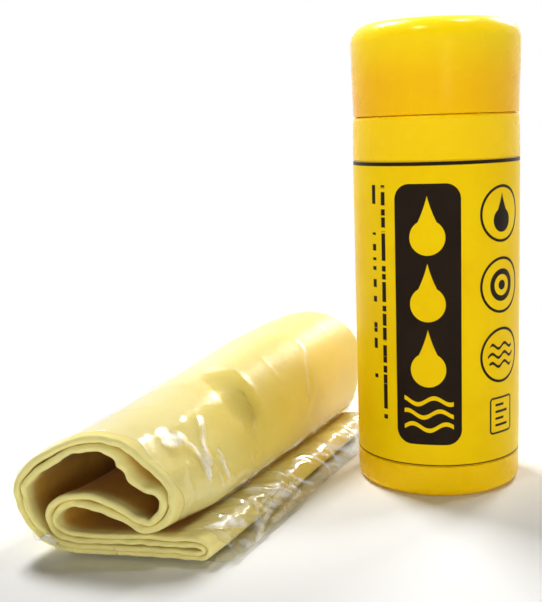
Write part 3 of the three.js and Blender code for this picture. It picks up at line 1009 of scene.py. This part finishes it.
# Main folds of the film: distance along and share round of both ends, height and half-width in mm
FOLDS = (
    (38, 0.275, 16, 0.175, 0.7, 2.6), (30, 0.30, 20, 0.262, 0.5, 3.6), (30, 0.205, 41, 0.125, 0.6, 2.4),
    (78, 0.365, 66, 0.19, 0.5, 3.8), (69, 0.29, 60, 0.18, 0.4, 1.8), (121, 0.31, 103, 0.17, 0.35, 2.0),
    (146, 0.33, 132, 0.18, 0.25, 2.6), (92, 0.33, 86, 0.14, 0.2, 2.2), (52, 0.17, 46, 0.11, 0.7, 2.0),
    (20, 0.098, 9, 0.03, 1.1, 2.6), (34, 0.105, 28, 0.01, 1.3, 2.4), (44, 0.09, 60, 0.005, 1.6, 2.8),
    (70, 0.095, 58, 0.012, 1.4, 2.2), (84, 0.08, 95, 0.01, 0.9, 2.6), (112, 0.085, 104, 0.015, 0.7, 2.2),
    (138, 0.08, 128, 0.005, 0.8, 2.4), (152, 0.07, 158, 0.01, 0.6, 2.0), (12, 0.235, 4, 0.15, 0.6, 1.8),
    (60, 0.44, 70, 0.35, 0.5, 3.0), (110, 0.42, 118, 0.34, 0.5, 3.0), (24, 0.42, 34, 0.33, 0.4, 3.0),
)
FOLD_CREST = 1.35
FOLD_FADE = 5
SLACK_SHARE = 0.02

# Painted highlights and painted shade on the film: places as (distance along, share round), half-width in mm
# and strength
PAINTED_GLEAMS = (
    (((16, 0.297), (19, 0.283), (22, 0.27)), 4.2, 1.0),
    (((14, 0.285), (18, 0.27)), 3.0, 0.9),
    (((22, 0.267), (24, 0.24), (22, 0.217), (20, 0.19)), 2.4, 0.9),
    (((40, 0.277), (34, 0.253), (30, 0.237), (24, 0.205)), 2.2, 0.9),
    (((34, 0.212), (32, 0.187), (32, 0.16)), 1.5, 0.8),
    (((26, 0.207), (26, 0.183), (28, 0.158)), 1.3, 0.5),
    (((5, 0.07), (10, 0.055), (19, 0.042)), 3.2, 1.0),
    (((72, 0.033), (56, 0.03), (38, 0.027), (26, 0.013), (18, 0.0)), 2.2, 0.7),
    (((66, 0.037), (50, 0.037), (36, 0.033)), 1.6, 0.8),
    (((56, 0.047), (44, 0.047), (32, 0.043)), 1.3, 0.6),
    (((66, 0.017), (52, 0.01), (36, 0.01)), 1.6, 0.6),
    (((149, 0.05), (133, 0.023)), 1.6, 0.6),
    (((133, 0.013), (123, 0.007)), 2.0, 0.6),
    (((68, 0.277), (66, 0.243), (62, 0.21)), 1.2, 0.3),
    (((119, 0.29), (109, 0.243), (103, 0.197)), 1.2, 0.25),
)
# painted shade: a dark grey streak on the film over the dent, where the dent lies in shade
PAINTED_SHADE_STREAKS = ((((68, 0.318), (64, 0.285), (62, 0.255)), 11.0, 0.38),)

# The crease between the roll and the flap
CREASE_PLACES = (0, 16, 50, 99, 165)
CREASE_SHARES = (0.132, 0.121, 0.105, 0.095, 0.088)
CREASE_WIDTH = 2.6

# The mouth hangs loose: set back on top, forward at the lower left corner, with a small lip there
MOUTH_SETBACK = 4.0
MOUTH_FORWARD = 6.5
MOUTH_CORNER = 0.7
MOUTH_LENGTH = 40
LIP_LENGTH = 7
LIP_TURN = ACROSS * 1.5 + UP * 7.5

# Loose film beside the flap, and the closed far end
LOOSE_SHARE = 0.075
FILM_THICK = 0.09 * MM
FLOOR_GAP = 0.2 * MM
END_PULLS = (0.06, 0.3, 0.65)
END_CENTRE = roll_point(ROLL_LENGTH + 1.2, *FILM_CENTRE)
END_STEP = 1.1 * MM
# painted highlights: radial streaks where the far end is drawn in
PAINTED_PLEAT_GLEAMS = 0.15 * np.abs(np.sin(AROUND * TURN * 11 + 3 * np.sin(AROUND * TURN * 5))) ** 6
BAG_END = 22

# The film's grid: its outlines in mm, its girth, and each point's distance along and way round
RINGS = np.array([film_ring(d / ROLL_LENGTH) for d in FILM_PLACES])
GIRTH = np.linalg.norm(np.roll(RINGS, -1, axis=1) - RINGS, axis=2).sum(1).mean()
DISTANCE = np.repeat(FILM_PLACES[:, None], FILM_AROUND, axis=1)
ARC = np.repeat((AROUND * GIRTH)[None], FILM_STEPS, axis=0)


def fold_height(d1, s1, d2, s2, height, width):
    """A sharp-crested ridge between two places on the film, fading at its ends."""
    run = np.array([d2 - d1, s2 * GIRTH - s1 * GIRTH])
    length = np.linalg.norm(run)
    run = run / length
    x = DISTANCE - d1
    y = ARC - s1 * GIRTH
    gone = (x * run[0] + y * run[1]) / length
    bow = 1.6 * np.sin(gone * 5.0 + d1) + 0.7 * np.sin(gone * 13.0 + d2)
    off = np.abs(x * -run[1] + y * run[0] + bow)
    fade = smoothstep(gone * FOLD_FADE + 0.5) * smoothstep((1 - gone) * FOLD_FADE + 0.5)
    return height * np.clip(1 - off / width, 0, 1) ** FOLD_CREST * fade


def fold_heights():
    """All folds. One that ends at the slack edge is drawn from its other side too."""
    found = np.zeros_like(DISTANCE)
    for d1, s1, d2, s2, height, width in FOLDS:
        for turns in ((0, 1) if s2 < SLACK_SHARE else (0,)):
            found = np.maximum(found, fold_height(d1, s1 + turns, d2, s2 + turns, height, width))
    return found


def strokes_at(strokes):
    """How strongly some strokes show at each place of the film."""
    found = np.zeros_like(DISTANCE)
    for path, width, strength in strokes:
        for (d1, s1), (d2, s2) in zip(path, path[1:]):
            run = np.array([d2 - d1, (s2 - s1) * GIRTH])
            x = DISTANCE - d1
            y = ARC - s1 * GIRTH
            gone = np.clip((x * run[0] + y * run[1]) / (run @ run), 0, 1)
            off = np.hypot(x - gone * run[0], y - gone * run[1])
            found = np.maximum(found, strength * smoothstep(1 - off / width))
    return found


def flat_noise(x, y, seed):
    """Smooth noise over a grid of plane places, about -1 to 1."""
    found = [noise.noise(Vector((p, q, seed * 7.7))) for p, q in zip(x.ravel(), y.ravel())]
    return np.array(found).reshape(x.shape)


def film_taut():
    """The smooth film as a grid of places, with its outward normals."""
    mouth = MOUTH_SETBACK - MOUTH_FORWARD * bell(AROUND, MOUTH_CORNER, 0.03)
    mouth += 0.9 * np.sin(AROUND * TURN * 7) + 0.6 * np.sin(AROUND * TURN * 16 + 1)
    stretch = np.clip(1 - DISTANCE / MOUTH_LENGTH, 0, 1)
    grid = roll_point(DISTANCE + mouth * stretch, RINGS[..., 0], RINGS[..., 1])
    way_round = np.roll(grid, -1, axis=1) - np.roll(grid, 1, axis=1)
    normal = np.cross(np.gradient(grid, axis=0), way_round)
    return grid, normal / np.linalg.norm(normal, axis=2, keepdims=True)


def film_relief(folds, loose, crumple):
    """Folds, crumples beside the flap and a gentle waviness, in mm. The film is flat on the floor."""
    wave = 0.5 + 0.5 * flat_noise(DISTANCE / 26 + ARC / 60, ARC / 34, 3)
    open_side = rise(AROUND, 0.02, 0.07) * rise(AROUND, 0.56, 0.5)
    height = 0.45 * wave * open_side + folds * np.maximum(open_side, loose)
    height += loose * 1.1 * np.clip(crumple, -0.2, 1)
    return height * np.clip((RINGS[..., 1] - 0.6) / 5, 0.05, 1)


def film_solid(grid, normal):
    """The film as a thin wall, with its far end drawn in to the roll's end."""
    ends = [grid[-1] * (1 - pull) + END_CENTRE * pull + ALONG * END_STEP for pull in END_PULLS]
    full = np.vstack([grid, np.array(ends)])
    outward = np.vstack([normal, np.tile(ALONG, (len(ends), FILM_AROUND, 1))])
    outward[FILM_STEPS - 1] = 0.6 * outward[FILM_STEPS - 1] + 0.4 * ALONG
    points = [*full.reshape(-1, 3), *(full - outward * FILM_THICK).reshape(-1, 3)]
    tip = len(points)
    walls = np.arange(tip).reshape(2, -1, FILM_AROUND)
    outer, inner = walls
    faces = grid_faces(outer, closed=True) + grid_faces(inner[::-1], closed=True)
    faces += grid_faces(walls[:, 0, ::-1], closed=True)
    faces += fan_faces(tip, outer[-1]) + fan_faces(tip + 1, inner[-1][::-1])
    points += [END_CENTRE + ALONG * END_STEP, END_CENTRE + ALONG * (END_STEP - FILM_THICK)]
    return add_mesh("film_sleeve", points, faces, film)


def film_marks(folds, loose, crumple):
    """The material's values on the film's grid, with their names."""
    haze = np.clip(folds - 0.35, 0, 1) * 0.9 + loose * np.clip(crumple, 0, 1) ** 2 * 0.8
    # behind the near end the film lies close on the cloth, and shines less
    cling = rise(DISTANCE, 46, 72) * rise(AROUND, 0.1, 0.15)
    cling = cling * (1 - 0.7 * np.clip(folds / 0.6, 0, 1))
    streaky = 0.75 + 0.6 * np.abs(flat_noise(DISTANCE / 4.6, ARC / 3.4, 9))
    # painted highlights at the places of bright glints, partly real reflection of the lamps in a rougher
    # mirror
    painted_gleam = strokes_at(PAINTED_GLEAMS) * streaky
    painted_gleam += 0.6 * bell(AROUND, MOUTH_CORNER, 0.018) * bell(DISTANCE, 0, 5)
    # painted shade over the dent
    painted_dent_shade = strokes_at(PAINTED_SHADE_STREAKS) * (0.5 + streaky / 2).clip(0, 1)
    off_crease = AROUND - np.interp(DISTANCE, CREASE_PLACES, CREASE_SHARES)
    crease = bell(off_crease * GIRTH, 0, CREASE_WIDTH)
    return zip(FILM_MARKS, (haze, cling, painted_gleam, painted_dent_shade, crease))


def make_film():
    folds = fold_heights()
    loose = bell(np.minimum(AROUND, 1 - AROUND), 0, LOOSE_SHARE)
    crumple = 1 - 2.2 * np.abs(flat_noise(DISTANCE / 9 + ARC / 14, ARC / 10, 5))
    grid, normal = film_taut()
    height = film_relief(folds, loose, crumple) - dent_depth(grid)
    grid = grid + normal * (height * MM)[..., None]
    # the mouth's lower left corner turns in before the cloth's edge
    lip = bell(AROUND, MOUTH_CORNER, 0.02) * np.clip(1 - DISTANCE / LIP_LENGTH, 0, 1) ** 2
    grid = grid + lip[..., None] * LIP_TURN * MM
    grid[..., 2] = np.maximum(grid[..., 2], FLOOR_GAP)
    made = film_solid(grid, normal)
    marks = {}
    for name, values in film_marks(folds, loose, crumple):
        # painted highlights: small pleats gleam where the far end is drawn in
        end = PAINTED_PLEAT_GLEAMS if name == "painted_gleam" else 0 * PAINTED_PLEAT_GLEAMS
        face = np.vstack([values, np.tile(end, (len(END_PULLS), 1))]).ravel()
        marks[name] = np.concatenate([face, face, [0, 0]])
    set_marks(made, marks)
    return made, (GIRTH * MM, (ROLL_LENGTH + BAG_END) * MM)


sleeve, sleeve_flat = make_film()
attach(sleeve, "wrapped_roll")
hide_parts("film_bag")


def seen_rays(s):
    """1 for rays that show a surface, 0 for those that only carry its light."""
    path = s.node("ShaderNodeLightPath")
    kinds = ("Is Camera Ray", "Is Glossy Ray", "Is Transmission Ray")
    return highest(Number(s, path.outputs[kind]) for kind in kinds)


# Floor: pale, lit like the object, running out to plain white
FLOOR_HALF = 6.0
FLOOR_FADES = (0.2, 0.45)
FLOOR_PALE = (0.93, 0.93, 0.92, 1)
FLOOR_BRIGHT = (0.95, 0.95, 0.94, 1)


def floor_material():
    s = material_shader("floor")
    where = s.node("ShaderNodeNewGeometry").outputs["Position"]
    x, y, _ = s.split(where)
    away = (x * x + y * y).root()
    colour = s.mix(s.noise(where, scale=700, detail=3), FLOOR_PALE, FLOOR_BRIGHT)
    matt = s.principled(Base_Color=colour, Roughness=0.85, Specular_IOR_Level=0.15)
    plain = s.node("ShaderNodeEmission", {"Color": WHITE})
    return s.finish(s.blend(seen_rays(s) * away.ramp(*FLOOR_FADES), matt, plain))


corners = [(-FLOOR_HALF, -FLOOR_HALF, 0), (FLOOR_HALF, -FLOOR_HALF, 0),
           (FLOOR_HALF, FLOOR_HALF, 0), (-FLOOR_HALF, FLOOR_HALF, 0)]
floor = add_mesh("floor", corners, [(0, 1, 2, 3)], floor_material())

# Soft studio light: two lamps behind, three small ones for the canister and cap, and pale cards round about
CARDS_FRONT = 1.9
CARDS_FRONT_LEVELS = (0.1, 0.42)
CARDS_BACK = 0.35
CARDS_BACK_LEVELS = (0.45, 0.75)
CARDS_MEET = (-0.25, 0.25)
ROLL_AND_CANISTER = (0, 0, 0.06)
CANISTER_MIDDLE = (AXIS_X, AXIS_Y, 0.085)
CAP_PLACE = (AXIS_X, AXIS_Y, 0.17)


def make_world():
    world = bpy.data.worlds.new("studio")
    scene.world = world
    s = Shader(world, "ShaderNodeOutputWorld")
    _, ahead, height = s.split(s.node("ShaderNodeTexCoord").outputs["Generated"])
    back = ahead.ramp(*CARDS_MEET)
    front_cards = (back * -1.0 + 1.0) * height.ramp(*CARDS_FRONT_LEVELS, CARDS_FRONT, 0.0)
    strength = front_cards + back * height.ramp(*CARDS_BACK_LEVELS, CARDS_BACK, 0.0)
    room = s.node("ShaderNodeBackground", {"Color": WHITE, "Strength": strength})
    white = s.node("ShaderNodeBackground", {"Color": WHITE, "Strength": 1.0})
    s.finish(s.blend(seen_rays(s), room, white))


def lamp(name, azimuth, elevation, distance, size, power, target=ROLL_AND_CANISTER, spread=180):
    """An area lamp round the object. Azimuth 0 is the camera's side, positive to the right."""
    data = bpy.data.lights.new(name, "AREA")
    data.shape = "SQUARE"
    data.size = size
    data.energy = power
    data.spread = math.radians(spread)
    made = add_object(name, data)
    a, e = math.radians(azimuth), math.radians(elevation)
    towards = Vector((math.sin(a) * math.cos(e), -math.cos(a) * math.cos(e), math.sin(e)))
    made.location = Vector(target) + towards * distance
    made.rotation_mode = "QUATERNION"
    made.rotation_quaternion = towards.to_track_quat("Z", "Y")
    return made


make_world()
lamp("lamp_left", azimuth=-150, elevation=56, distance=1.7, size=0.5, power=25.0)
lamp("lamp_right", azimuth=141, elevation=33, distance=1.25, size=0.3, power=7.6)
fill = lamp("lamp_front", 6, 3, distance=0.9, size=0.2, power=0.038, target=CANISTER_MIDDLE, spread=26)
fill.visible_glossy = False
lamp("lamp_cap", -38, 55, distance=0.5, size=0.06, power=0.02, target=CAP_PLACE, spread=24)
lamp("lamp_edge", 112, 70, distance=0.5, size=0.08, power=0.02, target=CAP_PLACE, spread=20)
